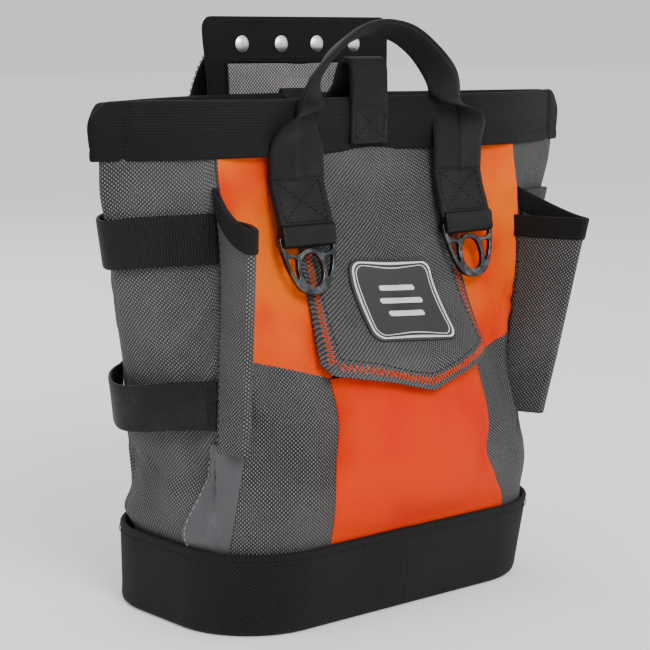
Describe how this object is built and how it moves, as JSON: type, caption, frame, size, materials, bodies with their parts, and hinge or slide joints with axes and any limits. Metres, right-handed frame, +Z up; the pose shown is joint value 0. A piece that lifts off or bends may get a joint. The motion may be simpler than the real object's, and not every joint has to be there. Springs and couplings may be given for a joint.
{
  "type": "tool bucket organizer",
  "caption": "Soft open-top tool bucket with a stiff base cup, front handle, swinging tool rings, side holsters, tool loops and a belt tunnel behind.",
  "frame": {"origin": "centre of the base on the ground", "axes": "+Z up, the front with the handle faces -Y, +X along the wide side"},
  "size_m": [0.3386, 0.1562, 0.318],
  "materials": {
    "black_fabric": "ballistic weave",
    "grey_fabric": "ballistic weave",
    "orange_fabric": "fine plain weave",
    "grey_vinyl": "smooth coated",
    "black_webbing": "ribbed webbing",
    "hook_tape": "hook and loop",
    "patch_rubber": "moulded matt",
    "board_plastic": "moulded",
    "spring_steel": "cold rolled",
    "ring_metal": "gunmetal plating",
    "rivet_nickel": "nickel plated"
  },
  "bodies": {
    "bag": {"base_cup": "black_fabric", "rim_band_front": "black_fabric", "rim_band_back": "black_fabric", "belt_panel": "black_fabric", "belt_loop": "black_fabric", "holster_binding_left": "black_fabric", "holster_binding_right": "black_fabric", "front_panel": "grey_fabric", "back_panel": "grey_fabric", "side_panel_left": "grey_fabric", "side_panel_right": "grey_fabric", "pocket_side_left": "grey_fabric", "pocket_side_right": "grey_fabric", "center_flap": "grey_fabric", "belt_window": "grey_fabric", "holster_left": "grey_fabric", "holster_right": "grey_fabric", "base_lining": "grey_fabric", "yoke_left": "orange_fabric", "yoke_right": "orange_fabric", "front_pocket": "orange_fabric", "corner_strip_left": "grey_vinyl", "corner_strip_right": "grey_vinyl", "strap_end_left": "black_webbing", "strap_end_right": "black_webbing", "ring_keeper_left": "black_webbing", "ring_keeper_right": "black_webbing", "closure_strap": "black_webbing", "tool_loop_upper_left": "black_webbing", "tool_loop_upper_right": "black_webbing", "tool_loop_lower_left": "black_webbing", "tool_loop_lower_right": "black_webbing", "hook_patch": "hook_tape", "label_patch": "patch_rubber", "base_board": "board_plastic", "rim_spring_front": "spring_steel", "rim_spring_back": "spring_steel", "rivets": "rivet_nickel"},
    "handle": {"handle": "black_webbing"},
    "ring_left": {"tool_ring_left": "ring_metal"},
    "ring_right": {"tool_ring_right": "ring_metal"},
    "closure_tab": {"closure_tab": "black_webbing"}
  },
  "joints": [
    {"name": "handle_swing", "type": "hinge", "parent": "bag", "child": "handle", "pos_m": [0, -0.0391, 0.2363], "axis": [1, 0, 0], "range_deg": [0, 110], "stiffness_Nm_per_rad": 0.06},
    {"name": "ring_left_swing", "type": "hinge", "parent": "bag", "child": "ring_left", "pos_m": [-0.058, -0.0465, 0.2035], "axis": [-1, 0, 0], "range_deg": [0, 85]},
    {"name": "ring_right_swing", "type": "hinge", "parent": "bag", "child": "ring_right", "pos_m": [0.058, -0.0465, 0.2035], "axis": [-1, 0, 0], "range_deg": [0, 85]},
    {"name": "closure_peel", "type": "hinge", "parent": "bag", "child": "closure_tab", "pos_m": [0, -0.0336, 0.2958], "axis": [-1, 0, 0], "range_deg": [0, 80]}
  ]
}
